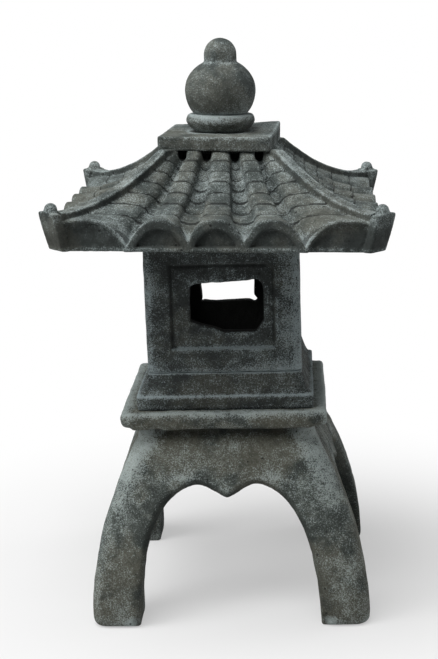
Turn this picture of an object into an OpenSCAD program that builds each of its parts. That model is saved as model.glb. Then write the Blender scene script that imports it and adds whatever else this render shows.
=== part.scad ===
// Stone garden lantern: a stack of cast stone pieces on four arched legs.
// Origin: ground level, on the upright centre line. +Z is up, and -Y is the front.

/* [Stand] */
// Height of the four-legged stand, ground to its top bed
stand_h = 207; // [180:1:230]
// Width over the outsides of the feet
foot_w = 298; // [270:1:320]
// Width of the stand at its shoulder, just under the top bed
shoulder_w = 196; // [190:1:215]
// Width of the stand's top bed, which carries the platform
top_w = 192; // [180:1:194]
// Height of the upright part between the shoulder and the top bed
upright_h = 14; // [8:1:20]
// Width of the shadow recess under the platform in the middle of each side
recess_w = 146; // [100:1:160]
// Depth of the shadow recess
recess_t = 9; // [4:1:14]
// Width of each foot on the ground
foot_t = 55; // [40:1:70]
// Height of the arch's two lobes above the ground
arch_h = 151; // [120:1:160]
// How far the pointed pendant hangs down between the two lobes
pendant_drop = 11; // [4:1:18]
// Height of each foot's chamfered lower edge
foot_chamfer = 5; // [2:1:10]

/* [Platform and plinth] */
// Width of the square platform slab
platform_w = 216; // [205:1:240]
// Thickness of the platform slab
platform_t = 18.5; // [14:0.5:26]
// Width of the plinth's upright band
plinth_w = 189; // [175:1:200]
// Height of the plinth's upright band
plinth_band_h = 15.5; // [10:0.5:22]
// Height of the hollow-curved flare above the band
plinth_flare_h = 22.5; // [14:0.5:30]

/* [Firebox] */
// Outside width of the square firebox
firebox_w = 165; // [155:1:172]
// Height of the firebox walls
firebox_h = 151.5; // [140:0.5:170]
// Thickness of the firebox walls
wall_t = 17; // [12:0.5:20]
// Width of each window
window_w = 76; // [50:1:90]
// Height of each window
window_h = 55; // [35:1:60]
// Height of the window's middle above the foot of the wall
window_z = 70; // [60:1:78]
// Width of the sunk panel around each window
panel_w = 110; // [100:1:118]
// Height of the sunk panel around each window
panel_h = 91; // [80:1:98]
// Depth of the sunk panel
panel_t = 3; // [1:0.5:4]

/* [Roof] */
// Width over the tile ends at the eaves
eaves_w = 330; // [310:1:350]
// Width over the turned-up corners
corner_w = 351; // [340:1:370]
// Height of the roof from its underside to the bed of the cap slab
roof_h = 89; // [80:1:100]
// Depth of the seat in the roof's underside that drops over the firebox
seat_t = 6; // [4:0.5:9]
// Height of the round tiles' crowns at the eaves above the roof's underside
crown_h = 32; // [26:1:36]
// Height of the valleys between the round tiles at the eaves
valley_h = 4; // [3:0.5:10]
// Number of tile courses from the cap slab to the eaves
courses = 7; // [4:1:8]
// Thickness of each tile's lip over the course below
lip_t = 2; // [0.8:0.1:2.4]
// Width of each vent under the cap slab
vent_w = 10; // [8:0.5:11]
// Height of each vent under the cap slab
vent_h = 13; // [8:0.5:15]
// Width of the hip ridges
hip_w = 13; // [10:0.5:18]
// Width of the slab that closes each hip at its corner
corner_slab_w = 28; // [20:1:34]

/* [Finial] */
// Width of the square cap slab
cap_w = 119.5; // [112:0.5:128]
// Thickness of the cap slab
cap_t = 13.5; // [10:0.5:18]
// Diameter of the collar ring
collar_d = 74; // [66:1:80]
// Height of the collar ring
collar_h = 19; // [14:1:22]
// Diameter of the jewel's large ball
ball_d = 76; // [68:1:82]
// Diameter of the knob on top
knob_d = 35; // [28:1:40]

/* [Joints between the stones] */
// Diameter of the round tenons on the stand and under the cap slab
tenon_d = 60; // [50:1:76]
// Length of the tenons
tenon_h = 9; // [6:1:11]
// Gap all round between a tenon and its socket
clearance = 1; // [0.5:0.25:1.5]

/* [Hidden] */
$fn = 64;
stone = [0.33, 0.35, 0.34];

// Half widths and the levels of the beds, from the ground up
foot = foot_w / 2;
shoulder = shoulder_w / 2;
shoulder_z = stand_h - upright_h;
platform_z = stand_h;
plinth_z = platform_z + platform_t;
firebox_z = plinth_z + plinth_band_h + plinth_flare_h;
firebox_half = firebox_w / 2;
chamber = firebox_half - wall_t;
roof_z = firebox_z + firebox_h - seat_t;
cap_z = roof_z + roof_h;
collar_z = cap_z + cap_t;
jewel_z = collar_z + collar_h;

// Roof: distances from the centre line at the eaves, the corners, the cap slab and the flue
eave = eaves_w / 2;
corner = corner_w / 2 - corner_slab_w / 2 / sqrt(2);
brow = cap_w / 2 - 4;
flue = brow - 10;
// How far each corner slab leans out from its foot to its tip, along each side
slab_lean = 9;

// The roof's sweep: steep under the cap slab and flat at the eaves
function sweep(t) = pow((eave - t) / (eave - brow), 2);
function crown(t) = roof_z + crown_h + (roof_h - crown_h) * sweep(t);
// The valleys are as deep as the vents under the cap slab, and deepest at the eaves
function valley(t) = crown(t) - vent_h - (crown_h - valley_h - vent_h) * pow(max(0, fan(t)), 2.5);
function hip(t) = crown(min(t, eave)) + 6 + max(0, t - eave) * 0.1;
// Distance of the lower edge of course i: the courses get shorter towards the cap slab
function course(i) = let (u = i / courses) brow + (eave - brow) * u * (0.63 + 0.37 * u * u);
function mix(a, b, f) = a + (b - a) * f;
function fan(t) = (t - brow) / (eave - brow);

// Round-tile lines on one face: place and radius under the cap slab, then at the eaves
LINES = [[0, 10, 0, 26.5], [28, 8, 56, 29], [51, 7, 124.5, 33]];
vent_x = [15, 40.5];

// A square of half width w with corners of radius r
module rounded_square(w, r) {
    square([2 * w, 2 * (w - r)], center = true);
    square([2 * (w - r), 2 * w], center = true);
    for (x = [-1, 1], y = [-1, 1])
        translate([x * (w - r), y * (w - r)])
            circle(r);
}

// The solid whose side view is the child outline from the front and from the side alike
module square_solid(reach) {
    intersection() {
        rotate([90, 0, 0])
            linear_extrude(2 * reach, center = true)
                children();
        rotate([90, 0, 90])
            linear_extrude(2 * reach, center = true)
                children();
    }
}

// Repeats the children on the four sides
module four_sides() {
    for (side = [0:3])
        rotate(90 * side)
            children();
}

// A slab of half width w with worn, chamfered edges
module slab(w, t, worn) {
    intersection() {
        linear_extrude(t)
            rounded_square(w, worn * 2);
        square_solid(w + 1)
            polygon([
                [-w, worn], [-w + worn, 0], [w - worn, 0], [w, worn],
                [w, t - worn], [w - worn, t], [-w + worn, t], [-w, t - worn]
            ]);
    }
}

// Half width of the stand's flared outside at height z
function flare(z) = foot - (foot - shoulder) * pow(z / shoulder_z, 2);

// Half of the flared outline, from the ground to the top bed
function stand_side() = concat(
    [[foot - foot_chamfer, 0]],
    [for (i = [0:9]) let (z = mix(foot_chamfer, shoulder_z, i / 9)) [flare(z), z]],
    [[top_w / 2, stand_h]]
);

// Mirrors a half outline to make the whole one
function both_sides(half) = concat(half, [for (i = [len(half) - 1:-1:0]) [-half[i][0], half[i][1]]]);

// Half width of the arch and the width between its lobes
arch_half = foot - foot_t;
lobe_x = 34;
arch_top = arch_h / pow(1 - pow(lobe_x / arch_half, 3.4), 0.5);

// The arch: upright at the feet, rounded to two lobes, with a pointed pendant between them
function arch_side() = concat(
    [[arch_half, -1]],
    [
        for (i = [0:14])
            let (x = mix(arch_half, lobe_x, pow(i / 14, 1.6)))
                [x, arch_top * pow(1 - pow(x / arch_half, 3.4), 0.5)]
    ],
    [for (i = [1:5]) let (f = i / 5) [lobe_x * (1 - f), arch_h - pendant_drop * pow(f, 1.4)]]
);

module stand() {
    color(stone)
        difference() {
            union() {
                intersection() {
                    square_solid(foot + 1)
                        polygon(both_sides(stand_side()));
                    // Rounds the four upright corners by the same amount all the way up
                    rotate_extrude()
                        polygon(concat(
                            [[0, 0]],
                            [for (p = stand_side()) [p[0] * sqrt(2) - 7, p[1]]],
                            [[0, stand_h]]
                        ));
                }
                translate([0, 0, stand_h - 1])
                    cylinder(d = tenon_d, h = tenon_h + 1);
            }
            for (turn = [0, 90])
                rotate([90, 0, turn])
                    linear_extrude(foot_w + 2, center = true)
                        polygon(both_sides(arch_side()));
            four_sides()
                translate([0, -shoulder, stand_h])
                    shadow_recess();
        }
}

// Sinks the middle of a side back under the platform, with sloping ends and floor
module shadow_recess() {
    half = recess_w / 2;
    intersection() {
        translate([0, 0, -upright_h])
            linear_extrude(upright_h + 1)
                polygon([
                    [-half, -1], [half, -1], [half - recess_t, shoulder - top_w / 2 + recess_t],
                    [recess_t - half, shoulder - top_w / 2 + recess_t]
                ]);
        rotate([90, 0, 90])
            linear_extrude(recess_w + 2, center = true)
                polygon([
                    [-2, 1 - upright_h], [shoulder - top_w / 2 + recess_t, 5 - upright_h],
                    [shoulder - top_w / 2 + recess_t + 1, 2], [-2, 2]
                ]);
    }
}

module platform() {
    color(stone)
        translate([0, 0, platform_z])
            difference() {
                slab(platform_w / 2, platform_t, 3);
                translate([0, 0, -1])
                    cylinder(d = tenon_d + 2 * clearance, h = tenon_h + 2);
            }
}

// Half of the plinth's outline: an upright band, then a hollow-curved flare
function plinth_side() = concat(
    [[plinth_w / 2, 0], [plinth_w / 2, plinth_band_h]],
    [
        for (a = [0:15:90])
            [
                firebox_half + (plinth_w / 2 - 2 - firebox_half) * (1 - sin(a)),
                plinth_band_h + plinth_flare_h * (1 - cos(a))
            ]
    ]
);

module plinth() {
    color(stone)
        translate([0, 0, plinth_z])
            union() {
                intersection() {
                    square_solid(plinth_w / 2 + 1)
                        polygon(both_sides(plinth_side()));
                    linear_extrude(plinth_band_h + plinth_flare_h)
                        rounded_square(plinth_w / 2, 4);
                }
                // The floor of the chamber stands up inside the firebox walls and locates them
                linear_extrude(plinth_band_h + plinth_flare_h + 6)
                    rounded_square(chamber - clearance, 5);
            }
}

module firebox() {
    color(stone)
        translate([0, 0, firebox_z])
            difference() {
                linear_extrude(firebox_h)
                    difference() {
                        rounded_square(firebox_half, 6);
                        rounded_square(chamber, 6);
                    }
                four_sides()
                    translate([0, -firebox_half, window_z]) {
                        rotate([90, 0, 0])
                            linear_extrude(2 * wall_t + 10, center = true)
                                window_outline();
                        cube([panel_w, 2 * panel_t, panel_h], center = true);
                    }
            }
}

// A window: an oblong with its corners cut by hand to blunt curves
module window_outline() {
    square([window_w - 16, window_h], center = true);
    square([window_w, window_h - 16], center = true);
    for (x = [-1, 1], z = [-1, 1])
        translate([x * (window_w / 2 - 8), z * (window_h / 2 - 8)])
            circle(8);
}

// The roof's tile beds, stepped down by one lip at each course
function bed_side() = concat(
    [[eave, roof_z], [eave, valley(eave)]],
    [
        for (i = [courses:-1:1], step = [0, 1])
            let (t = course(i - step))
                [t, valley(t) + lip_t * (1 - step)]
    ],
    [[flue - 8, valley(brow)]]
);

// One straight length of round tile between two points on the roof
module round_tile(x_from, t_from, r_from, x_to, t_to, r_to) {
    start = [x_from, -t_from, crown(t_from) - r_from];
    end = [x_to, -t_to, crown(t_to) - r_to];
    run = end - start;
    translate(start)
        rotate([0, acos(run[2] / norm(run)), atan2(run[1], run[0])])
            cylinder(r1 = r_from, r2 = r_to + lip_t, h = norm(run) + 0.5, $fn = 40);
}

// One line of round tiles, fanning out from the cap slab to the eaves
module tile_line(line, side) {
    for (i = [0:courses - 1]) {
        upper = course(i);
        lower = course(i + 1);
        round_tile(
            side * mix(line[0], line[2], fan(upper)), upper, mix(line[1], line[3], fan(upper)),
            side * mix(line[0], line[2], fan(lower)), lower, mix(line[1], line[3], fan(lower))
        );
    }
    // The top length runs in under the cap slab
    round_tile(side * line[0], flue - 4, line[1], side * line[0], brow + 1, line[1]);
}

// The round tiles of the front face, cut off square at the eaves and mitred at the hips
module face_tiles() {
    intersection() {
        union() {
            tile_line(LINES[0], 1);
            for (side = [-1, 1], k = [1, 2])
                tile_line(LINES[k], side);
        }
        translate([0, 0, roof_z])
            linear_extrude(roof_h)
                polygon([[0, 0], [eave, -eave], [-eave, -eave]]);
    }
}

// Sunk half-round faces in the ends of the round tiles at the eaves
module tile_end_recesses() {
    for (line = [LINES[0], LINES[1], LINES[2]], side = [-1, 1])
        if (line[2] > 0 || side > 0)
            intersection() {
                translate([side * line[2], -eave + 3, crown(eave) - line[3] - 1])
                    rotate([90, 0, 0])
                        cylinder(r = line[3] - 5, h = 10);
                translate([-eave + 12, -eave - 10, roof_z + 6])
                    cube([eaves_w - 24, 20, roof_h]);
            }
}

// A hip ridge with its turned-up corner and the small knob behind it
module hip_ridge() {
    steps = 10;
    diagonal = sqrt(2);
    rotate(-135)
        rotate([90, 0, 0])
            linear_extrude(hip_w, center = true)
                polygon(concat(
                    [for (i = [0:steps]) let (t = mix(flue, corner, i / steps)) [t * diagonal, hip(t)]],
                    [[(corner - slab_lean) * diagonal, roof_z], [(corner - slab_lean - 15) * diagonal, roof_z]],
                    [[brow * diagonal, valley(brow) - 5], [flue * diagonal, valley(brow) - 5]]
                ));
    rotate(-135)
        rotate([90, 0, 0])
            linear_extrude(corner_slab_w, center = true)
                polygon([
                    [(corner - slab_lean) * diagonal - 9, roof_z], [(corner - slab_lean) * diagonal, roof_z],
                    [corner * diagonal, hip(corner)], [corner * diagonal - 12, hip(corner) - 1]
                ]);
    translate([3 - corner, 3 - corner, hip(eave) + 5])
        sphere(d = 13);
}

module roof() {
    color(stone)
        difference() {
            union() {
                intersection() {
                    union() {
                        square_solid(eave)
                            polygon(both_sides(bed_side()));
                        four_sides()
                            face_tiles();
                    }
                    // The beds are cut off across each corner, inside the thickness of its slab
                    rotate(45)
                        translate([0, 0, roof_z])
                            linear_extrude(roof_h + 1)
                                square(2 * (corner - slab_lean - 2) * sqrt(2), center = true);
                }
                four_sides()
                    hip_ridge();
            }
            // Flat bed for the cap slab
            translate([0, 0, cap_z])
                cylinder(r = corner_w, h = 40);
            // Flue, narrowing from the chamber up to the vents
            square_solid(chamber + 1)
                polygon(both_sides([
                    [chamber, roof_z - 1], [chamber, roof_z + 20],
                    [flue, cap_z - vent_h], [flue, cap_z + 1]
                ]));
            // Seat that drops over the top of the firebox
            translate([0, 0, roof_z - 1])
                linear_extrude(seat_t + 1)
                    rounded_square(firebox_half + 1.5, 6);
            four_sides() {
                for (side = [-1, 1], x = vent_x)
                    translate([side * x - vent_w / 2, -brow - 12, cap_z - vent_h])
                        cube([vent_w, 30, vent_h + 1]);
                tile_end_recesses();
            }
        }
}

module cap_slab() {
    color(stone)
        translate([0, 0, cap_z])
            difference() {
                union() {
                    slab(cap_w / 2, cap_t, 2);
                    // Tenon that locates the slab in the mouth of the flue
                    translate([0, 0, 1 - tenon_h])
                        cylinder(d = tenon_d, h = tenon_h);
                }
                socket(cap_t, 8);
            }
}

// A socket sunk from level z down by the depth of the small tenon above it
module socket(z, depth) {
    translate([0, 0, z - depth])
        cylinder(d = 24 + 2 * clearance, h = depth + 1);
}

// The collar is a ring with a swollen side, bedded on the cap slab
module collar() {
    color(stone)
        translate([0, 0, collar_z])
            rotate_extrude()
                polygon(concat(
                    [[12 + clearance, 0]],
                    [
                        for (a = [-75:15:75])
                            [collar_d / 2 - 8 + 8 * cos(a), collar_h / 2 + collar_h / 2 * sin(a) / sin(75)]
                    ],
                    [[12 + clearance, collar_h]]
                ));
}

module jewel() {
    ball_r = ball_d / 2;
    ball_z = jewel_z + ball_r * 0.66;
    knob_r = knob_d / 2;
    color(stone)
        union() {
            intersection() {
                translate([0, 0, ball_z])
                    sphere(ball_r);
                translate([0, 0, jewel_z])
                    cylinder(d = ball_d + 2, h = ball_d);
            }
            translate([0, 0, ball_z + ball_r - 1])
                sphere(knob_r);
            // Tenon down through the collar and into the cap slab
            translate([0, 0, collar_z - 7])
                cylinder(d = 24, h = collar_h + 12);
        }
}

stand();
platform();
plinth();
firebox();
roof();
cap_slab();
collar();
jewel();
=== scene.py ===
"""Stone lantern: worn cast stones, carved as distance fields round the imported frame."""
import math
from itertools import product

import bpy
import numpy as np
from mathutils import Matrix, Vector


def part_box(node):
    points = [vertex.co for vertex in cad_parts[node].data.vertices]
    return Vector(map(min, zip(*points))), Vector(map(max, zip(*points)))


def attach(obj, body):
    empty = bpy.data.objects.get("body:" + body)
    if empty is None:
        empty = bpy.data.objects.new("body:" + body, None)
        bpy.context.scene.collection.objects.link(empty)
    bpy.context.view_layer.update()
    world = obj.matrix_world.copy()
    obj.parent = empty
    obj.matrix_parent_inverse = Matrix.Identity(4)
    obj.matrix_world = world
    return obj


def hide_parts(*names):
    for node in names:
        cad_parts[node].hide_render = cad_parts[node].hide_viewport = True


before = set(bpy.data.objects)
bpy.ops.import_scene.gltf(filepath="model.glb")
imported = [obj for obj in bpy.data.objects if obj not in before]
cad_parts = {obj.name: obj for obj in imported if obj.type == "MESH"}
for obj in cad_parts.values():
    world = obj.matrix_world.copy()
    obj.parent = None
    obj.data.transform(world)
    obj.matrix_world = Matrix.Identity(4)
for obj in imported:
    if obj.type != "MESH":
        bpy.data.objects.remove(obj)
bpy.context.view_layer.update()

import openvdb
from mathutils import Matrix, Vector

# Lengths are in millimetres until a mesh is made
MM = 0.001
ROOT2 = math.sqrt(2)

# ---------------------------------------------------------------- sizes taken from the frame
LOW, HIGH = {}, {}
for node in ("stand", "platform", "plinth", "firebox", "roof", "cap_slab", "collar", "jewel"):
    LOW[node], HIGH[node] = (np.array(corner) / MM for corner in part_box(node))

# Half widths and radii
FOOT = HIGH["stand"][0]
PLATFORM_HALF = HIGH["platform"][0]
PLINTH_HALF = HIGH["plinth"][0]
FIREBOX_HALF = HIGH["firebox"][0]
CAP_HALF = HIGH["cap_slab"][0]
COLLAR_R = HIGH["collar"][0]
BALL_R = HIGH["jewel"][0]

# Levels
PLATFORM_Z = LOW["platform"][2]
PLINTH_Z = LOW["plinth"][2]
FIREBOX_Z = LOW["firebox"][2]
FIREBOX_TOP = HIGH["firebox"][2]
ROOF_Z = LOW["roof"][2]
CAP_Z = HIGH["roof"][2]
COLLAR_Z = LOW["collar"][2]
JEWEL_Z = HIGH["collar"][2]
JEWEL_TOP = HIGH["jewel"][2]
ROOF_H = CAP_Z - ROOF_Z

# ---------------------------------------------------------------- sizes shared with the CAD
# Stand: half widths at the shoulder and the top, the arch with its lobes and pendant, the cove
SHOULDER = 98.0
SHOULDER_Z = PLATFORM_Z - 14.0
TOP_HALF = 96.0
ARCH_HALF = FOOT - 53.0
ARCH_H = 146.5
LOBE_X = 33.0
PENDANT = 14.0
COVE_HALF = 76.0
COVE_T = 9.0
PLINTH_BAND_H = 15.5
FLOOR_T = 6.0
# Firebox: the chamber, the window's middle level and the sunk panel
CHAMBER = FIREBOX_HALF - 17.0
WINDOW_Z = FIREBOX_Z + 70.0
PANEL_Z = WINDOW_Z + 2.0
PANEL_HALF_W, PANEL_HALF_H, PANEL_T = 55.0, 45.5, 2.2
# Roof: distances from the centre line at the eaves, the corners, the cap slab and the flue
SLAB_HALF_W = 14.0
EAVE = 165.0
CORNER = HIGH["roof"][0] - SLAB_HALF_W / ROOT2 + 2.5
BROW = CAP_HALF - 4.0
FLUE = BROW - 10.0
SEAT_T = 6.0
CROWN_H, VENT_H = 32.0, 13.0
VENT_X, VENT_HALF = (14.5, 40.0), 4.4
COURSES = 7
HIP_HALF, HIP_H = 6.2, 6.0
SLAB_LEAN = 8.0
KNOB_R = 6.5
# Tenons under the platform and the cap slab, the jewel's pin, and the gap round them
TENON_R, TENON_H, GAP = 30.0, 9.0, 1.0
PIN_R, PIN_H = 12.0, 7.0

# ---------------------------------------------------------------- only in the looks
# Height of a course's lower edge on the round tiles and in the pans, and how far it leans
LIP, PAN_LIP, LIP_LEAN = 1.1, 1.9, 0.4
# Rims round the sunk ends of the round tiles: in the middle, at the corners, and below
END_RIM, CORNER_RIM, END_SILL, END_T = 10.5, 4.0, 5.5, 4.0
# The stones sit a little crooked, as laid by hand
ROOF_ROLL = math.radians(1.6)
CAP_TURN = math.radians(-4.7)
FINIAL_SHIFT = -3.0
FOOT_SHIFT = 1.6
PLATFORM_STRETCH = 0.035


# ---------------------------------------------------------------- distance fields
class Block:
    """A box of sample points on which a stone's distance field is worked out."""

    def __init__(self, low, high, step):
        self.step = step * 1.0
        margin = 3 * self.step
        self.low = np.array(low, float) - margin
        counts = np.ceil((np.array(high, float) + margin - self.low) / self.step).astype(int) + 1
        x, y, z = ((self.low[i] + self.step * np.arange(counts[i])).astype(np.float32) for i in range(3))
        self.x, self.y, self.z = x[:, None, None], y[None, :, None], z[None, None, :]


def upright(half, low, high, step):
    """The block round a square or round stone on the centre line."""
    return Block((-half, -half, low), (half, half, high), step)


def meet(a, b, soft):
    """Where both shapes are, with the edge between them rounded off."""
    overlap = np.maximum(soft - np.abs(a - b), 0)
    return np.maximum(a, b) + overlap * overlap / (4 * soft)


def join(a, b, soft):
    """Where either shape is, with the corner between them filled a little."""
    return -meet(-a, -b, soft)


def chamfered(a, b, width):
    """Where both shapes are, with a flat chamfer along the edge between them."""
    return np.maximum(meet(a, b, 1.0), (a + b + width) * math.sqrt(0.5))


def ease(value, low, high):
    """Rises smoothly from 0 at low to 1 at high."""
    part = np.clip((value - low) / (high - low), 0, 1)
    return part * part * (3 - 2 * part)


def bell(value, middle, width):
    """A rounded bump, 1 at the middle."""
    return np.exp(-((value - middle) / width) ** 2)


def fade(value, middle, width):
    """A peaked bump, 1 at the middle, with long feet."""
    return np.exp(-np.abs(value - middle) / width)


def square_around(x, y, half, radius):
    """Distance to an upright square shaft with rounded corners."""
    qx = np.abs(x) - (half - radius)
    qy = np.abs(y) - (half - radius)
    outside = np.hypot(np.maximum(qx, 0), np.maximum(qy, 0))
    return outside + np.minimum(np.maximum(qx, qy), 0) - radius


def outline(u, v, points):
    """Distance to a closed outline, negative inside."""
    u, v = np.broadcast_arrays(u, v)
    nearest = np.full(u.shape, np.inf)
    inside = np.zeros(u.shape, bool)
    for (u0, v0), (u1, v1) in zip(points, points[1:] + points[:1]):
        du, dv = u1 - u0, v1 - v0
        along = np.clip(((u - u0) * du + (v - v0) * dv) / (du * du + dv * dv), 0, 1)
        nearest = np.minimum(nearest, (u - u0 - along * du) ** 2 + (v - v0 - along * dv) ** 2)
        if dv:
            inside ^= ((v0 <= v) != (v1 <= v)) & (u < u0 + (v - v0) / dv * du)
    return (np.where(inside, -1.0, 1.0) * np.sqrt(nearest)).astype(np.float32)


def out_and_across(p):
    """Each point's distance from the centre line towards the face it is over, and across that face."""
    ax, ay = np.abs(p[:, 0]), np.abs(p[:, 1])
    return np.maximum(ax, ay), np.minimum(ax, ay)


def noise(points, size, seed):
    """Smooth random values from -1 to 1 at the points, with bumps about size apart."""
    count = 32
    table = np.random.RandomState(seed).uniform(-1, 1, (count, count, count))
    place = points / size + 1000.0
    cell = np.floor(place).astype(int)
    part = place - cell
    part = part * part * (3 - 2 * part)
    total = np.zeros(len(points))
    for corner in product((0, 1), repeat=3):
        weight = np.prod(np.where(corner, part, 1 - part), axis=1)
        i, j, k = ((cell + corner) % count).T
        total += weight * table[i, j, k]
    return total


# ---------------------------------------------------------------- from field to stone
def neighbour_mean(values, edges, degree):
    """The mean of each vertex's neighbours."""
    total = np.zeros_like(values)
    np.add.at(total, edges[:, 0], values[edges[:, 1]])
    np.add.at(total, edges[:, 1], values[edges[:, 0]])
    return total / (degree[:, None] if values.ndim == 2 else degree)


def vertex_normals(points, quads):
    across = points[quads[:, 2]] - points[quads[:, 0]]
    down = points[quads[:, 3]] - points[quads[:, 1]]
    face = np.cross(across, down)
    normals = np.zeros_like(points)
    for corner in range(4):
        np.add.at(normals, quads[:, corner], face)
    return normals / np.maximum(np.linalg.norm(normals, axis=1, keepdims=True), 1e-9)


def hollows(points, normals, edges, step):
    """How hollow each vertex is, close by and over a wider area: above 0 in grooves, below 0 along edges."""
    degree = np.maximum(np.bincount(edges.ravel(), minlength=len(points)), 1)
    close = np.sum((neighbour_mean(points, edges, degree) - points) * normals, axis=1) / step
    for _ in range(2):
        close = 0.5 * close + 0.5 * neighbour_mean(close, edges, degree)
    wide = close
    for _ in range(8):
        wide = neighbour_mean(wide, edges, degree)
    return close, wide


def wear(points, wide, rough, seed, chips):
    """How far weather has moved each point: waves, lumps and grain, and bites along the edges."""
    lumps = (0.6 * noise(points, 34, seed) + 0.4 * noise(points, 13, seed + 1)
             + 0.25 * noise(points, 5.5, seed + 2))
    edge = np.clip(-wide * 9, 0, 1)
    bites = np.clip(noise(points, 11, seed + 3) + 0.5 * noise(points, 5, seed + 4) - 0.45, 0, 1)
    push = rough * lumps - edge * (0.3 * rough + 2.2 * rough * bites)
    for centre, radius, depth in chips:
        away = np.linalg.norm(points - np.array(centre), axis=1) / radius
        away += 0.25 * noise(points, radius * 0.7, seed + 5)
        push -= depth * np.clip(1.6 * (1 - away), 0, 1)
    return push


def thinned(name, mesh, triangles):
    """The mesh with no more than this many triangles, kept dense where it bends."""
    before = 2 * len(mesh.polygons)
    if before <= triangles:
        return mesh
    holder = bpy.data.objects.new(name + "_dense", mesh)
    bpy.context.scene.collection.objects.link(holder)
    holder.modifiers.new("thin", "DECIMATE").ratio = triangles / before
    shown = holder.evaluated_get(bpy.context.evaluated_depsgraph_get())
    thin = bpy.data.meshes.new_from_object(shown)
    thin.name = name
    bpy.data.objects.remove(holder)
    return thin


def carve(node, body, slot, block, field, rough, seed, triangles, chips=(), place=None, **paint):
    """Makes one stone from its distance field, roughens it, and stands it in for its CAD node.

    chips are knocked-off spots as centre, radius and depth, place moves the points at the end,
    and paint gives layers as functions of the points: a pale wash with some painted light, painted shade, and
    the course phase that places a painted shadow under the roof's tile lips.
    """
    name = node + "_stone"
    grid = openvdb.FloatGrid(10.0)
    grid.copyFromArray(np.array(np.broadcast_to(
        field, (block.x.size, block.y.size, block.z.size)), dtype=np.float32))
    points, _, quads = grid.convertToPolygons(isovalue=0.0, adaptivity=0.0)
    points = points.astype(float) * block.step + block.low
    quads = quads.astype(int)
    edges = np.concatenate([quads[:, [0, 1]], quads[:, [1, 2]], quads[:, [2, 3]], quads[:, [3, 0]]])
    edges = np.unique(np.sort(edges, axis=1), axis=0)
    normals = vertex_normals(points, quads)
    close, wide = hollows(points, normals, edges, block.step)

    push = wear(points, wide, rough, seed, chips)
    if node == "stand":
        # The soles stay flat
        push = push * np.clip((points[:, 2] - (points[:, 2].min() + 0.2)) / 2.0, 0, 1)
    worn = points + normals * push[:, None]
    if place is not None:
        worn = place(worn)

    mesh = bpy.data.meshes.new(name)
    mesh.from_pydata((worn * MM).tolist(), [], quads.tolist())
    layers = {"hollow": close * 4, "hollow_wide": wide * 12}
    for label in ("wash", "grime", "seam_sine", "seam_cosine"):
        layers[label] = paint[label](points) if label in paint else np.zeros(len(points))
    for label, values in layers.items():
        values = np.clip(values, -1, 1).astype(np.float32)
        mesh.attributes.new(label, "FLOAT", "POINT").data.foreach_set("value", values)
    mesh.materials.append(MATERIALS[slot])
    mesh = thinned(name, mesh, triangles)
    mesh.polygons.foreach_set("use_smooth", np.ones(len(mesh.polygons), bool))
    stone = bpy.data.objects.new(name, mesh)
    bpy.context.scene.collection.objects.link(stone)
    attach(stone, body)
    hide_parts(node)


def foot_shift(points):
    """Moves the feet a little to the right of the shoulders."""
    moved = points.copy()
    moved[:, 0] += FOOT_SHIFT * (1 - np.clip(points[:, 2] / SHOULDER_Z, 0, 1))
    return moved


def stretched_left(points):
    """Makes the left half of the platform a little wider."""
    wider = points.copy()
    wider[:, 0] += np.where(points[:, 0] < 0, PLATFORM_STRETCH * points[:, 0], 0)
    return wider


def crooked(points):
    """Tips the roof and what it carries a little to the right."""
    turned = points.copy()
    rise = points[:, 2] - ROOF_Z
    turned[:, 0] = points[:, 0] * math.cos(ROOF_ROLL) + rise * math.sin(ROOF_ROLL)
    turned[:, 2] = ROOF_Z - points[:, 0] * math.sin(ROOF_ROLL) + rise * math.cos(ROOF_ROLL)
    return turned


def crooked_finial(points):
    """Tips the finial with the roof, a little left of the roof's middle."""
    turned = crooked(points)
    turned[:, 0] += FINIAL_SHIFT
    return turned


def crooked_cap(points):
    """Turns the cap slab a little on the roof and lifts its back right corner."""
    turned = points.copy()
    turned[:, 0] = points[:, 0] * math.cos(CAP_TURN) - points[:, 1] * math.sin(CAP_TURN)
    turned[:, 1] = points[:, 0] * math.sin(CAP_TURN) + points[:, 1] * math.cos(CAP_TURN)
    right = np.clip(points[:, 0] / CAP_HALF + 0.2, 0, 1.2)
    back = np.clip(points[:, 1] / CAP_HALF + 0.2, 0, 1.2)
    turned[:, 2] += (1.0 * back + 3.2 * right * back) * ease(points[:, 2], CAP_Z, COLLAR_Z - 2)
    return crooked_finial(turned)


# ---------------------------------------------------------------- materials
def linear(shade):
    """A screen colour from 0 to 255 as the linear colour that a shader takes."""
    return [((c / 255 + 0.055) / 1.055) ** 2.4 if c > 10 else c / 255 / 12.92 for c in shade] + [1.0]


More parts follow.
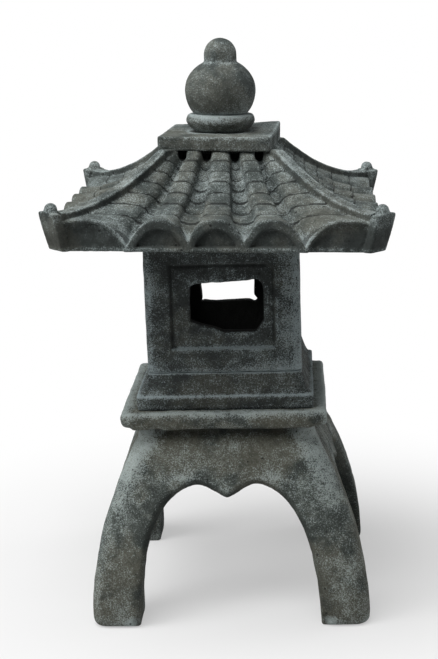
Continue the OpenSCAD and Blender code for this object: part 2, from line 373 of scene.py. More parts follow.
class Nodes:
    """Short ways to add the nodes of one material."""

    def __init__(self, name):
        self.material = bpy.data.materials.new(name)
        self.material.use_nodes = True
        self.tree = self.material.node_tree
        self.shader = self.tree.nodes["Principled BSDF"]
        self.place = self.tree.nodes.new("ShaderNodeTexCoord").outputs["Object"]

    def add(self, kind, inputs, **settings):
        node = self.tree.nodes.new(kind)
        for key, value in settings.items():
            setattr(node, key, value)
        for key, value in inputs.items():
            if isinstance(value, bpy.types.NodeSocket):
                self.tree.links.new(value, node.inputs[key])
            else:
                node.inputs[key].default_value = value
        return node

    def math(self, operation, a, b=0.0, c=0.0):
        return self.add("ShaderNodeMath", {0: a, 1: b, 2: c}, operation=operation).outputs[0]

    def total(self, start, *layers):
        """start, plus each layer times its weight."""
        for layer, weight in layers:
            start = self.math("MULTIPLY_ADD", layer, weight, start)
        return start

    def noise(self, scale, detail, rough, offset):
        spot = self.add("ShaderNodeVectorMath", {0: self.place, 1: (offset, offset * 0.7, -offset)})
        return self.add("ShaderNodeTexNoise", {
            "Vector": spot.outputs[0], "Scale": scale, "Detail": detail, "Roughness": rough}).outputs["Fac"]

    def attribute(self, label):
        return self.add("ShaderNodeAttribute", {}, attribute_name=label).outputs["Fac"]

    def step(self, value, low, high):
        return self.add("ShaderNodeMapRange", {
            "Value": value, "From Min": low, "From Max": high}, interpolation_type="SMOOTHSTEP").outputs[0]

    def tint(self, under, share, strength, shade):
        """The colour under, with the shade laid over it where share says."""
        amount = self.math("MULTIPLY", share, strength)
        return self.add("ShaderNodeMix", {0: amount, 6: under, 7: linear(shade)}, data_type="RGBA").outputs[2]


# Screen colours of the dirt in pores and between lumps, of painted shade and dirt in grooves, recesses and
# hollows, and of the dark in pinholes
PORE, DENT, GROOVE, PINHOLE = (26, 29, 28), (30, 33, 32), (17, 19, 18), (18, 20, 19)


def weathered_stone(name, dark, mid, olive, pale, cover, olive_level, offset=0.0):
    """Cast stone: dark body, olive bare patches, specks of a pale wash in pores and grooves with painted
    light on some faces, painted shade and dirt in grooves and recesses, and pinholes.
    """
    n = Nodes(name)
    close, wide = n.attribute("hollow"), n.attribute("hollow_wide")
    wash, grime = n.attribute("wash"), n.attribute("grime")
    # From patches a hand wide down to grain of less than a millimetre: a scale is per metre
    broad = n.noise(9, 2.0, 0.5, offset)
    patch = n.noise(36, 4.0, 0.6, offset + 3)
    clump = n.noise(130, 2.0, 0.6, offset + 4)
    fleck = n.noise(680, 2.0, 0.65, offset + 5)
    grain = n.noise(1500, 1.0, 0.5, offset + 7)

    body = n.add("ShaderNodeMix", {0: n.step(patch, 0.35, 0.65), 6: linear(dark), 7: linear(mid)},
                 data_type="RGBA").outputs[2]
    body = n.tint(body, n.step(n.total(0.0, (broad, 0.6), (patch, 0.4)), 0.45, 0.56), olive_level, olive)
    body = n.tint(body, n.step(fleck, 0.54, 0.34), 0.3, PORE)
    body = n.tint(body, n.step(clump, 0.56, 0.32), 0.25, DENT)

    # The wash lies in specks, thicker in patches, in wide hollows, on worn edges and where the wash layer
    # paints it, which also holds painted light on some sides and tops; painted shade thins it
    worn_edge = n.step(wide, -0.15, -0.6)
    amount = n.total(cover - 0.15, (patch, 0.30), (clump, 0.20), (broad, -0.20), (wide, 0.09),
                     (wash, 0.24), (grime, -0.25), (worn_edge, 0.09), (fleck, 0.58), (grain, 0.42))
    film = n.step(amount, 0.49, 0.80)
    fresh = n.math("MULTIPLY", n.step(amount, 0.58, 0.62), 0.75)
    over = n.math("MAXIMUM", film, fresh)
    colour = n.tint(body, over, 0.9, pale)

    # Painted shade and dirt in the sharpest grooves, painted shade where the shade layer puts it, and a
    # painted shadow line under the edges of the tile courses, where the sine of the course's phase passes 0
    # with its cosine near 1
    beside_seam = n.math("ABSOLUTE", n.math("SUBTRACT", n.attribute("seam_sine"), 0.16))
    seam = n.math("MULTIPLY", n.step(beside_seam, 0.24, 0.12), n.step(n.attribute("seam_cosine"), 0.4, 0.7))
    line = n.math("MAXIMUM", n.math("MULTIPLY", n.step(close, 0.35, 0.9), 0.4), grime)
    line = n.math("MAXIMUM", line, n.math("MULTIPLY", seam, 0.85))
    colour = n.tint(colour, line, 0.9, GROOVE)

    # Pinholes, in loose groups
    cells = n.add("ShaderNodeTexVoronoi", {"Vector": n.place, "Scale": 85.0, "Randomness": 1.0})
    hole_size = n.total(-0.075, (n.noise(60, 1.0, 0.5, offset + 9), 0.30))
    hole = n.math("LESS_THAN", cells.outputs["Distance"], hole_size)
    colour = n.tint(colour, hole, 0.8, PINHOLE)
    n.tree.links.new(colour, n.shader.inputs["Base Color"])

    n.tree.links.new(n.total(0.80, (over, 0.12)), n.shader.inputs["Roughness"])
    n.shader.inputs["Specular IOR Level"].default_value = 0.25
    height = n.total(0.0, (fleck, 1.0), (grain, 0.5), (clump, 1.6), (hole, -1.0))
    bump = n.add("ShaderNodeBump", {"Height": height, "Strength": 0.8, "Distance": 0.0016})
    n.tree.links.new(bump.outputs[0], n.shader.inputs["Normal"])
    return n.material


# One material for each slot in the record
MATERIALS = {
    "roof_stone": weathered_stone(
        "roof_stone", (52, 58, 56), (80, 87, 85), (86, 86, 77), (142, 152, 152),
        cover=0.01, olive_level=0.6),
    "firebox_stone": weathered_stone(
        "firebox_stone", (42, 46, 45), (62, 67, 65), (66, 66, 58), (138, 150, 152),
        cover=-0.01, olive_level=0.6, offset=11.0),
    "stand_stone": weathered_stone(
        "stand_stone", (52, 57, 54), (80, 86, 81), (88, 87, 76), (150, 160, 158),
        cover=0.01, olive_level=0.75, offset=23.0),
}


# ---------------------------------------------------------------- the stand
def arch_points():
    """The arch: upright at the feet, rounded to two lobes, with a pointed pendant between them."""
    power = 3.4
    top = ARCH_H / math.sqrt(1 - (LOBE_X / ARCH_HALF) ** power)
    half = [(ARCH_HALF, -20.0)]
    for i in range(15):
        x = ARCH_HALF + (LOBE_X - ARCH_HALF) * (i / 14) ** 1.6
        half.append((x, top * math.sqrt(max(0.0, 1 - (x / ARCH_HALF) ** power))))
    for i in range(1, 9):
        turn = math.pi * i / 8
        drop = 0.75 - 0.5 * math.cos(turn / 2) - 0.25 * math.cos(turn)
        half.append((LOBE_X * (1 - i / 8), ARCH_H - PENDANT * drop))
    return half + [(-x, z) for x, z in reversed(half[:-1])]


def make_stand():
    b = upright(FOOT, 0, PLATFORM_Z + TENON_H, 1.8)
    arch = arch_points()
    level = np.clip(b.z, 0, SHOULDER_Z) / SHOULDER_Z
    spread = FOOT + 1.5
    half = spread - (spread - SHOULDER) * level ** 2
    half = half - (SHOULDER - TOP_HALF) * np.clip((b.z - SHOULDER_Z) / (PLATFORM_Z - SHOULDER_Z), 0, 1)
    stone = square_around(b.x, b.y, half, 21.0) * 0.93
    # Shadow cove under the platform in the middle of each side
    for across, out in ((b.x, np.abs(b.y)), (b.y, np.abs(b.x))):
        depth = COVE_T * ease(b.z, SHOULDER_Z - 1, PLATFORM_Z - 4) * (
            1 - ease(np.abs(across), COVE_HALF - 8, COVE_HALF + 8))
        stone = meet(stone, (out - half + depth) * 0.85, 2.0)
    stone = meet(stone, b.z - PLATFORM_Z, 3.0)
    foot_round = meet(stone, -b.z, 9.0)
    # The edges of the arches are cut flatter towards the top
    for across in (b.x, b.y):
        opening = -outline(across, b.z, arch)
        stone = chamfered(stone, opening, 3.0 + 6.0 * ease(b.z, 50, 125))
        foot_round = np.maximum(foot_round, opening)
    stone = meet(stone, foot_round, 3.0)
    tenon = np.maximum(np.hypot(b.x, b.y) - TENON_R, b.z - PLATFORM_Z - TENON_H)
    stone = np.minimum(stone, np.maximum(tenon, PLATFORM_Z - 20 - b.z))

    def wash(p):
        out, across = out_and_across(p)
        z = p[:, 2]
        ledge = 0.55 * fade(z, ARCH_H + 10, 7) * bell(across, LOBE_X + 12, 22)
        toes = 1.1 * bell(across, ARCH_HALF + 9, 8) * bell(z, 6, 6)
        # Pale wash with a painted highlight on the upper outer corners
        corner = ease(out - across, 34, 10) * (0.1 + 0.75 * ease(z, 110, 180))
        lower = 0.2 * ease(z, 110, 20)
        return (ledge + toes + corner + lower) * (out > 80)

    # Painted shade along the arches' chamfered edges and a painted shadow in the cove under the platform
    def grime(p):
        out, across = out_and_across(p)
        under = -outline(across, p[:, 2], arch)
        cove = ease(p[:, 2], SHOULDER_Z + 3, PLATFORM_Z) * (across < COVE_HALF)
        return 0.35 * bell(under, -3, 4) * (out > 60) + 0.45 * cove

    chips = (((-FOOT + 52, -FOOT, 6), 9, 2.5), ((FOOT - 50, -FOOT, 6), 9, 3.0),
             ((-FOOT + 13, -FOOT + 12, 96), 5, 2.5), ((-FOOT + 8, -FOOT + 12, 70), 6, 2.0))
    carve("stand", "stand", "stand_stone", b, stone, rough=0.9, seed=10, triangles=120000,
          chips=chips, place=foot_shift, wash=wash, grime=grime)


# ---------------------------------------------------------------- the platform and the plinth
def make_platform():
    edge, top = PLATFORM_HALF, PLINTH_Z
    b = upright(edge, PLATFORM_Z, top, 1.7)
    stone = square_around(b.x, b.y, edge, 7.0)
    stone = meet(stone, b.z - top, 5.0)
    stone = meet(stone, PLATFORM_Z - b.z, 7.0)
    socket = np.maximum(np.hypot(b.x, b.y) - TENON_R - GAP, b.z - PLATFORM_Z - TENON_H - GAP)
    stone = np.maximum(stone, -socket)

    def wash(p):
        out, _ = out_and_across(p)
        rim = fade(p[:, 2], top, 2.5) * np.exp(-np.maximum(edge - 8 - out, 0) / 4)
        # Painted light on the right side, and a pale wash along the top rim
        return 0.8 * rim + 0.5 * (p[:, 0] > edge - 3)

    chips = (((-edge + 2, -edge, PLATFORM_Z), 13, 4), ((-edge + 38, -edge, PLATFORM_Z), 10, 2.5),
             ((edge - 8, -edge, PLATFORM_Z), 13, 3.5), ((20, -edge, top), 12, 1.5))
    carve("platform", "platform", "stand_stone", b, stone, rough=0.9, seed=20, triangles=40000,
          chips=chips, place=stretched_left, wash=wash)


def make_plinth():
    band_top = PLINTH_Z + PLINTH_BAND_H
    b = upright(PLINTH_HALF, PLINTH_Z, FIREBOX_Z + FLOOR_T, 1.7)
    rise = np.clip((b.z - band_top) / (FIREBOX_Z - band_top), 0, 1)
    hollowed = 1 - np.sin(np.arccos(1 - rise))
    flare = FIREBOX_HALF + (PLINTH_HALF - 2 - FIREBOX_HALF) * (0.45 * hollowed + 0.55 * (1 - rise))
    half = np.where(b.z < band_top, PLINTH_HALF, flare)
    stone = square_around(b.x, b.y, half, 5.0) * 0.9
    stone = meet(stone, b.z - FIREBOX_Z, 1.5)
    stone = meet(stone, PLINTH_Z - b.z, 2.0)
    # The chamber's floor stands up inside the firebox
    floor = square_around(b.x, b.y, CHAMBER - GAP, 5.0)
    floor = meet(np.maximum(floor, PLINTH_Z + 5 - b.z), b.z - FIREBOX_Z - FLOOR_T, 3.0)
    stone = np.minimum(stone, floor)

    def wash(p):
        out, _ = out_and_across(p)
        z = p[:, 2]
        lines = 0.9 * bell(z, band_top, 1.3) + 0.9 * bell(z, FIREBOX_Z, 1.3) + 0.8 * fade(z, PLINTH_Z, 1.5)
        return lines * (out > FIREBOX_HALF - 5)

    # Painted shade on the chamber's floor inside the firebox
    def grime(p):
        out, _ = out_and_across(p)
        return 0.9 * (out < FIREBOX_HALF - 8)

    carve("plinth", "platform", "firebox_stone", b, stone, rough=0.6, seed=30, triangles=40000,
          wash=wash, grime=grime)


# ---------------------------------------------------------------- the firebox
# Window outlines as cut by hand: across from the middle, and up from the window's middle level
FRONT_WINDOW = [(-34, 23), (-29, 26), (10, 28), (38, 30), (42, 26), (44, 19), (43.5, -14),
                (35, -26), (0, -26.5), (-7, -23), (-18, -19.5), (-34.5, -14)]
BACK_WINDOW = [(-31, 27), (33, 29), (37, 25), (33, 3), (31, -22), (33, -27),
               (30, -25), (8, -26), (-24, -25), (-30, -28), (-33, -24), (-29, -18)]
SIDE_WINDOW = [(-36, 23), (-30, 27), (31, 26), (36, 22), (38, -19),
               (32, -26), (4, -25), (-27, -27), (-37, -21)]


def make_firebox():
    b = upright(FIREBOX_HALF, FIREBOX_Z, FIREBOX_TOP, 1.6)
    stone = square_around(b.x, b.y, FIREBOX_HALF, 9.0)
    stone = np.maximum(stone, -square_around(b.x, b.y, CHAMBER, 6.0))
    stone = meet(stone, b.z - FIREBOX_TOP, 2.5)
    stone = meet(stone, FIREBOX_Z - b.z, 2.0)
    half_w, half_h = PANEL_HALF_W, PANEL_HALF_H
    panel = [(-half_w, -half_h), (half_w, -half_h), (half_w, half_h - 9), (half_w - 3, half_h - 3),
             (half_w - 9, half_h), (-half_w, half_h)]
    sides = ((b.x, -b.y, FRONT_WINDOW), (-b.x, b.y, BACK_WINDOW),
             (b.y, b.x, SIDE_WINDOW), (-b.y, -b.x, SIDE_WINDOW))
    for across, out, cut in sides:
        window = np.maximum(outline(across, b.z - WINDOW_Z, cut), 10 - out)
        frame_line = outline(across, b.z - PANEL_Z, panel)
        sunk = meet(frame_line, FIREBOX_HALF - PANEL_T - out, 1.0)
        groove = np.hypot(frame_line + 1.6, out - FIREBOX_HALF + PANEL_T) - 1.7
        stone = meet(stone, -sunk, 1.0)
        stone = meet(stone, -groove, 0.8)
        stone = meet(stone, -window, 1.5)

    def wash(p):
        out, across = out_and_across(p)
        z = p[:, 2]
        ledge = bell(z, PANEL_Z - half_h, 1.4) * (across < half_w)
        corner = 0.45 * fade(np.hypot(p[:, 0], p[:, 1]), FIREBOX_HALF * 1.36, 3)
        foot = 0.3 * fade(z, FIREBOX_Z, 9) + 0.8 * bell(z, FIREBOX_Z, 1.3)
        # Painted light: the right side is painted paler
        right = 0.35 * ease(p[:, 0], half_w - 12, half_w + 12)
        return (ledge + corner + foot + right) * (out > FIREBOX_HALF - 5)

    # Painted shade inside the chamber, and painted shade lines along the sunk panel's groove
    def grime(p):
        out, across = out_and_across(p)
        z = p[:, 2]
        upright_line = bell(across, half_w - 1.2, 1.4) * (np.abs(z - PANEL_Z) < half_h)
        top_line = bell(z, WINDOW_Z + half_h, 1.4) * (across < half_w)
        inside = out < FIREBOX_HALF - PANEL_T - 2.5
        return np.where(inside, 0.93, 0.5 * np.maximum(upright_line, top_line))

    carve("firebox", "firebox", "firebox_stone", b, stone, rough=0.7, seed=40, triangles=80000,
          wash=wash, grime=grime)


# ---------------------------------------------------------------- the roof
# Heights on the roof are above its underside, and fan runs from 0 at the brow to 1 at the eaves
def sweep(out):
    """How far the roof has risen at a distance from the centre line: 0 at the eaves, 1 at the brow."""
    return ((EAVE - np.minimum(out, EAVE)) / (EAVE - BROW)) ** 2


def crown(out):
    """Height of the round tiles' crowns."""
    return CROWN_H + (ROOF_H - CROWN_H) * sweep(out)


def hip(out):
    """Height of the hip ridges, which turn up at the corners."""
    return crown(out) + HIP_H + 0.15 * np.maximum(out - 150, 0)


def hip_half(out):
    return HIP_HALF + 3.0 * np.clip((out - BROW) / (EAVE - BROW), 0, 1)


def hip_place(x, y):
    """The distance out along the nearest hip, on one axis, and the distance beside it."""
    ax, ay = np.abs(x), np.abs(y)
    return (ax + ay) / 2, np.abs(ax - ay) / ROOT2


def face_place(x, y):
    """The distance across, and out from the centre line, on the face that a point is over."""
    ax, ay = np.abs(x), np.abs(y)
    return np.where(ax > ay, y, x), np.maximum(ax, ay)


def tile_depth(fan):
    """How far the pans lie below the crowns: deepest in the notches at the eaves."""
    return VENT_H - 3.5 * ease(fan, 0.3, 0.7) + 18.0 * np.clip((fan - 0.77) / 0.23, 0, 1) ** 1.3


def tile_lines(fan):
    """The round-tile lines of half a face: inner foot, crown, outer foot, and how square the tiles are."""
    flare = np.clip((fan - 0.74) / 0.26, 0, 1) ** 1.6
    centre = 10.6 + 6.5 * fan + 13.0 * flare
    half = 8.8 + 6.0 * fan + 15.5 * flare
    second = 28 + 27.5 * fan + 10 * fan * (1 - fan)
    third = 52 + 78 * fan + 24 * fan * (1 - fan)
    third_foot = 43.5 + 56 * fan - 6 * fan ** 2 - 4.5 * flare
    return (
        (-centre, 0.0, centre, 5.0),
        (second - half, second, second + half + 3 * fan, 4.5),
        (third_foot, third, third + 1.3 * (third - third_foot), 3.0),
    )


def courses(out):
    """How far up the lip of its course a point is, from 0 to 1, and its distance past the last lower edge."""
    shares = [i / COURSES for i in range(COURSES + 1)]
    edges = [BROW + (EAVE - BROW) * u * (0.63 + 0.37 * u * u) for u in shares]
    up = np.ones_like(out)
    past = np.full_like(out, 99.0)
    for start, end in zip([2 * edges[0] - edges[1]] + edges[:-1], edges):
        inside = (out >= start) & (out < end)
        up = np.where(inside, (out - start) / (end - start), up)
        past = np.where(inside, out - start, past)
    return up, past


def tiled_surface(across, out):
    """Height of the tiles on one face, and how far up the lip of its course each point is."""
    fan = np.clip((out - BROW) / (EAVE - BROW), 0, 1)
    deep = tile_depth(fan)
    across = np.abs(across)
    share = np.zeros(np.broadcast(across, out).shape)
    lines = tile_lines(fan)
    for inner, middle, outer, square in lines:
        power = square - (square - 2.4) * fan ** 4
        away = np.clip(np.where(across < middle, (middle - across) / (middle - inner),
                                (across - middle) / (outer - middle)), 0, 1)
        round_up = (1 - away ** power) ** (0.45 + 0.45 * fan ** 8)
        share = np.where(away < 1, np.maximum(share, round_up), share)
    # Pans sag between the tiles
    sag = np.zeros_like(share)
    for left, right in ((lines[0][2], lines[1][0]), (lines[1][2], lines[2][0])):
        width = np.maximum(right - left, 0.1)
        spot = 2 * (across - left) / width - 1
        sag = np.maximum(sag, np.where(np.abs(spot) < 1, 1 - spot * spot, 0) * np.minimum(3.2, width * 0.4))
    up, past = courses(out - LIP_LEAN * deep * (share - 1))
    lip = (PAN_LIP + (LIP - PAN_LIP) * np.minimum(2 * share, 1)) * up
    line = 0.9 * bell(past, 0.7, 0.75) * (out < EAVE - 1)
    return crown(out) - deep + deep * share - sag + lip - line, up


def end_height(across):
    """Height of the tiles at the eaves."""
    return tiled_surface(across, np.full_like(across, EAVE))[0]


def make_roof():
    b = upright(CORNER + SLAB_HALF_W / ROOT2, ROOF_Z, CAP_Z, 1.3)
    z = b.z - ROOF_Z
    across, out = face_place(b.x, b.y)
    diagonal, beside = hip_place(b.x, b.y)

    surface, _ = tiled_surface(across, out)
    rise_x, rise_y = np.gradient(surface[:, :, 0], b.step)
    steep = np.sqrt(1 + np.minimum(rise_x ** 2 + rise_y ** 2, 6))[:, :, None]
    stone = meet((z - surface) / steep, out - EAVE, 1.5)
    stone = np.maximum(stone, (diagonal - (CORNER - SLAB_LEAN) + 2) * ROOT2)

    # Faces sunk into the ends of the round tiles, inside a rim that follows the tiles
    end = end_height(across)
    end_slope = np.gradient(end, b.step, axis=(0, 1))
    end_steep = np.sqrt(1 + np.minimum(end_slope[0] ** 2 + end_slope[1] ** 2, 3))
    corner_end = ease(np.abs(across), 84, 94)
    rim = (z - end) / end_steep + END_RIM - (END_RIM - CORNER_RIM) * corner_end
    sunk = meet(meet(rim, END_SILL - 4.5 * corner_end - z, 2.0), np.abs(across) - 150, 2.0)
    stone = meet(stone, -np.maximum(sunk, EAVE - END_T - out), 1.5)

    ridge = meet(beside - hip_half(diagonal), (z - hip(diagonal)) * 0.9, 1.5)
    ridge = np.maximum(ridge, diagonal - CORNER + SLAB_LEAN + 2)
    ridge = np.maximum(ridge, crown(diagonal) - 22 - z)
    stone = join(stone, ridge, 0.8)

    # Corner slabs: leaning out, with the tip turned up, and a knob behind each
    tip = float(hip(np.float32(CORNER)))
    lean = CORNER - SLAB_LEAN * np.clip(1 - z / tip, 0, 1) ** 1.2
    face = (diagonal - lean) * ROOT2
    slab = meet(face, beside - (SLAB_HALF_W - 2 * (1 - np.clip(z / tip, 0, 1))), 3.0)
    slab = meet(slab, -face - 11, 3.0)
    slab = meet(slab, z - tip - 0.15 * face, 3.0)
    stone = join(stone, np.maximum(slab, -z), 1.5)
    knob_out = CORNER - 5
    knob_z = float(hip(np.float32(EAVE))) + 2.5
    knob = np.sqrt((np.abs(b.x) - knob_out) ** 2 + (np.abs(b.y) - knob_out) ** 2
                   + ((z - knob_z) * 1.05) ** 2) - KNOB_R
    stone = join(stone, knob, 4.0)

    # Bed for the cap slab, flat underside, flue, seat and vents
    stone = meet(stone, z - ROOF_H, 1.0)
    stone = meet(stone, -z, 2.0)
    narrow = np.clip((z - 20) / (ROOF_H - VENT_H - 20), 0, 1)
    stone = np.maximum(stone, -square_around(b.x, b.y, CHAMBER + (FLUE - CHAMBER) * narrow, 4.0))
    seat = np.maximum(square_around(b.x, b.y, FIREBOX_HALF + 1.5, 6.0), z - SEAT_T)
    stone = np.maximum(stone, -seat)
    for vent in VENT_X:
        hole = meet(np.abs(np.abs(across) - vent) - VENT_HALF, ROOF_H - VENT_H + 2.0 - z, 4.0)
        stone = meet(stone, -np.maximum(hole, out - BROW - 14), 1.5)

    def wash(p):
        z = p[:, 2] - ROOF_Z
        diagonal, beside = hip_place(p[:, 0], p[:, 1])
        across, out = face_place(p[:, 0], p[:, 1])
        surface, _ = tiled_surface(across, out)
        # Painted light, with some pale wash, on the tops of the hip ridges; pale wash in the notches at the
        # eaves
        ridges = 0.25 * ease(z - hip(diagonal), -1.5, -0.5) * (beside < 12) * (diagonal > BROW)
        notches = 0.7 * ease(out, EAVE - 26, EAVE - 6) * ease(z, 24, 10) * (np.abs(z - surface) < 3)
        return np.maximum(ridges, notches)

    # Painted shade inside the flue and in the sunk tile ends, deeper below the rim, and a painted shadow
    # beside the hip ridges
    def grime(p):
        z = p[:, 2] - ROOF_Z
        diagonal, beside = hip_place(p[:, 0], p[:, 1])
        across, out = face_place(p[:, 0], p[:, 1])
        surface, _ = tiled_surface(across, out)
        flue = (out < BROW - 2) * 1.0
        below_rim = end_height(across) - z
        ends = (0.2 + 0.25 * (below_rim > 9)) * (out > EAVE - 6.5) * (below_rim > 1.5) * (z > 5)
        past_hip = beside - hip_half(diagonal)
        wall = 0.25 * ease(past_hip, -2.0, -0.5) * ease(past_hip, 2.0, 0.8) * (diagonal < CORNER - 8)
        wall = wall * ease(hip(diagonal) - z, 1.0, 3.0) * ease(z - surface, 0.0, 1.0)
        return np.maximum.reduce([ends, flue, wall])

    # Where the painted shadow line under each tile course's lip is drawn
    def seam(wave):
        """One wave of each course's phase, on the top of the tiles only."""
        def layer(p):
            across, out = face_place(p[:, 0], p[:, 1])
            surface, up = tiled_surface(across, out)
            above = p[:, 2] - ROOF_Z - surface
            on_top = ease(above, -6, -4) * ease(above, 3.5, 2.5) * (out < EAVE - 1.5) * (out > BROW)
            return wave(2 * np.pi * up) * on_top
        return layer

    carve("roof", "roof", "roof_stone", b, stone, rough=0.45, seed=50, triangles=260000,
          place=crooked, wash=wash, grime=grime, seam_sine=seam(np.sin), seam_cosine=seam(np.cos))


# ---------------------------------------------------------------- the finial
def make_cap_slab():
    b = upright(CAP_HALF, CAP_Z - TENON_H, COLLAR_Z, 1.3)
    stone = square_around(b.x, b.y, CAP_HALF, 4.5)
    stone = meet(stone, b.z - COLLAR_Z, 1.8)
    # The overhang past the roof's bed is cut back underneath
    drip = 1.8 * ease(np.maximum(np.abs(b.x), np.abs(b.y)), BROW, BROW + 2)
    stone = meet(stone, CAP_Z - drip - b.z, 1.5)
    tenon = np.maximum(np.hypot(b.x, b.y) - TENON_R, CAP_Z + GAP - TENON_H - b.z)
    stone = np.minimum(stone, np.maximum(tenon, b.z - CAP_Z - 4))
    socket = np.maximum(np.hypot(b.x, b.y) - PIN_R - GAP, COLLAR_Z - PIN_H - GAP - b.z)
    stone = np.maximum(stone, -socket)

    def wash(p):
        out, _ = out_and_across(p)
        z = p[:, 2]
        rim = fade(out, CAP_HALF, 2.5) * fade(z, COLLAR_Z, 2)
        foot = fade(np.hypot(p[:, 0], p[:, 1]), COLLAR_R - 3, 1.8)
        return 0.5 * rim + foot * (z > COLLAR_Z - 3)

    carve("cap_slab", "finial", "roof_stone", b, stone, rough=0.75, seed=60, triangles=30000,
          place=crooked_cap, wash=wash)


def make_collar():
    b = upright(COLLAR_R, COLLAR_Z, JEWEL_Z, 1.2)
    half_h = (JEWEL_Z - COLLAR_Z) / 2
    around = np.hypot(b.x, b.y)
    # A fat ring, widest above its middle and tapered towards its foot
    ring_r = COLLAR_R - 10
    ring_z = COLLAR_Z + half_h + 2.0
    taper = 0.32 * np.maximum(ring_z - b.z, 0)
    swell = np.hypot((around + taper - ring_r) / 10, (b.z - ring_z) / (half_h + 1.5)) - 1
    stone = np.where(around > ring_r, swell * 9, np.abs(b.z - ring_z) - half_h - 1.5)
    stone = np.maximum(stone, COLLAR_Z - b.z)
    stone = meet(stone, b.z - JEWEL_Z, 2.0)
    stone = np.maximum(stone, PIN_R + GAP - around)

    def wash(p):
        z = p[:, 2]
        front = bell(p[:, 0], -4, 14) * bell(z, JEWEL_Z - 5, 4) * (p[:, 1] < 0)
        return fade(z, COLLAR_Z, 2.5) + fade(z, JEWEL_Z, 3.0) + 0.4 * front

    carve("collar", "finial", "roof_stone", b, stone, rough=0.6, seed=70, triangles=16000,
          place=crooked_finial, wash=wash)


def make_jewel():
    pin_z = COLLAR_Z - PIN_H
    b = upright(BALL_R, pin_z, JEWEL_TOP, 1.3)
    around = np.hypot(b.x, b.y)
    ball_z = JEWEL_Z + 0.66 * BALL_R
    knob_r = 17.5
    knob_z = JEWEL_TOP - knob_r
    flat = np.where(b.z > ball_z, 0.87, 1.0)
    ball = (np.hypot(around, (b.z - ball_z) / flat) - BALL_R) * 0.93
    stretched = np.maximum(b.z - knob_z, 0) + np.minimum(b.z - knob_z + 7, 0)
    knob = np.hypot(around, stretched) - knob_r
    stone = join(ball, knob, 1.5)
    stone = meet(stone, JEWEL_Z - b.z, 1.5)
    pin = np.maximum(around - PIN_R, np.maximum(pin_z - b.z, b.z - ball_z))
    stone = np.minimum(stone, pin)

    def wash(p):
        z = p[:, 2]
        around = np.hypot(p[:, 0], p[:, 1])
        crease = np.exp(-np.hypot(around - knob_r + 1, z - (knob_z - 11)) / 2.2)
        return fade(z, JEWEL_Z, 3.5) + crease

    carve("jewel", "finial", "roof_stone", b, stone, rough=0.4, seed=80, triangles=26000,
          place=crooked_finial, wash=wash)


for make in (make_stand, make_platform, make_plinth, make_firebox,
             make_roof, make_cap_slab, make_collar, make_jewel):
    make()


# ---------------------------------------------------------------- floor, light and camera
WHITE = (1.0, 1.0, 1.0, 1.0)
FLOOR_GREY = (190, 190, 190)
FLOOR_HALF = 6.0
# Radii in metres between which the floor runs out to white, and how white it is at the lantern
FLOOR_NEAR, FLOOR_FAR, FLOOR_WHITE = 0.15, 0.6, 0.45
WORLD_LIGHT = 0.22


def studio_floor():
    """A pale floor that is lit round the lantern and runs out to plain white."""
    n = Nodes("floor_white")
    n.shader.inputs["Base Color"].default_value = linear(FLOOR_GREY)
    n.shader.inputs["Roughness"].default_value = 0.9
    n.shader.inputs["Specular IOR Level"].default_value = 0.0
    away = n.add("ShaderNodeVectorMath", {0: n.place}, operation="LENGTH").outputs["Value"]
    glow = n.add("ShaderNodeEmission", {"Color": WHITE, "Strength": 1.0})
    seen = n.add("ShaderNodeLightPath", {}).outputs["Is Camera Ray"]
    white = n.total(FLOOR_WHITE, (n.step(away, FLOOR_NEAR, FLOOR_FAR), 1 - FLOOR_WHITE))
    mixed = n.add("ShaderNodeMixShader", {0: n.math("MULTIPLY", white, seen)})
    n.tree.links.new(n.shader.outputs[0], mixed.inputs[1])
    n.tree.links.new(glow.outputs[0], mixed.inputs[2])
    n.tree.links.new(mixed.outputs[0], n.tree.nodes["Material Output"].inputs["Surface"])
    return n.material


floor_mesh = bpy.data.meshes.new("floor")
floor_mesh.from_pydata([(x * FLOOR_HALF, y * FLOOR_HALF, 0) for x, y in ((-1, -1), (1, -1), (1, 1), (-1, 1))],
                       [], [(0, 1, 2, 3)])
floor_mesh.materials.append(studio_floor())
floor = bpy.data.objects.new("floor", floor_mesh)
bpy.context.scene.collection.objects.link(floor)


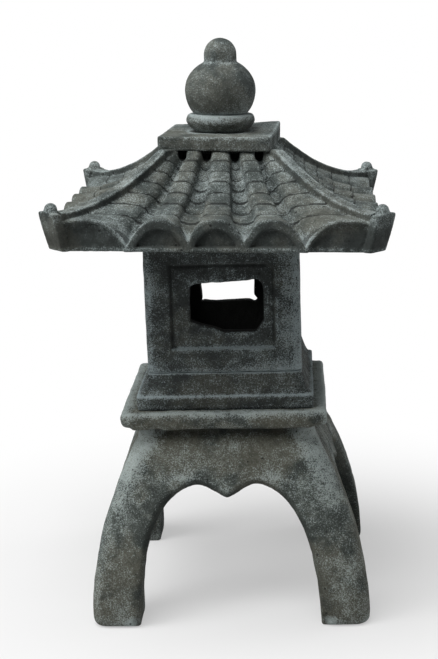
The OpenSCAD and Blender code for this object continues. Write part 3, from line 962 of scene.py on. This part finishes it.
def softbox(name, place, target, size, power):
    """A round soft light at a place, turned to a target: metres and watts."""
    light = bpy.data.lights.new(name, "AREA")
    light.shape = "DISK"
    light.size = size
    light.energy = power
    lamp = bpy.data.objects.new(name, light)
    lamp.location = place
    lamp.rotation_mode = "QUATERNION"
    lamp.rotation_quaternion = (Vector(target) - Vector(place)).to_track_quat("-Z", "Y")
    bpy.context.scene.collection.objects.link(lamp)


softbox("top", (-0.6, -0.5, 2.5), (0, 0, 0.35), 2.0, 85)
softbox("left", (-2.3, -1.1, 1.8), (0, 0, 0.35), 1.6, 42)
softbox("right", (2.2, 0.7, 0.9), (0, 0, 0.3), 1.4, 16)

# The world is white to the camera, and lights the lantern only a little
world = bpy.data.worlds.new("studio")
world.use_nodes = True
backdrop = world.node_tree.nodes["Background"]
backdrop.inputs["Color"].default_value = WHITE
rays = world.node_tree.nodes.new("ShaderNodeLightPath")
level = world.node_tree.nodes.new("ShaderNodeMapRange")
level.inputs["To Min"].default_value = WORLD_LIGHT
world.node_tree.links.new(rays.outputs["Is Camera Ray"], level.inputs["Value"])
world.node_tree.links.new(level.outputs[0], backdrop.inputs["Strength"])
bpy.context.scene.world = world
bpy.context.scene.view_settings.view_transform = "Standard"

# The camera stands right of the middle, above the roof's height, and looks down and a little left.
# Its place and the lens are in millimetres.
CAMERA_PLACE = (83.4, -1573.6, 677.8)
YAW, PITCH, ROLL = (math.radians(angle) for angle in (-3.36, 13.80, -1.94))
LENS, SENSOR = 79.43, 36.0

ahead = Vector((math.sin(YAW) * math.cos(PITCH), math.cos(YAW) * math.cos(PITCH), -math.sin(PITCH)))
right = Vector((math.cos(YAW), -math.sin(YAW), 0))
up = right.cross(ahead)
right, up = (right * math.cos(ROLL) + up * math.sin(ROLL), up * math.cos(ROLL) - right * math.sin(ROLL))
lens = bpy.data.cameras.new("camera")
lens.sensor_width = SENSOR
lens.lens = LENS
camera = bpy.data.objects.new("camera", lens)
turn = Matrix((right, up, -ahead)).transposed().to_4x4()
camera.matrix_world = Matrix.Translation(Vector(CAMERA_PLACE) * MM) @ turn
bpy.context.scene.collection.objects.link(camera)
bpy.context.scene.camera = camera
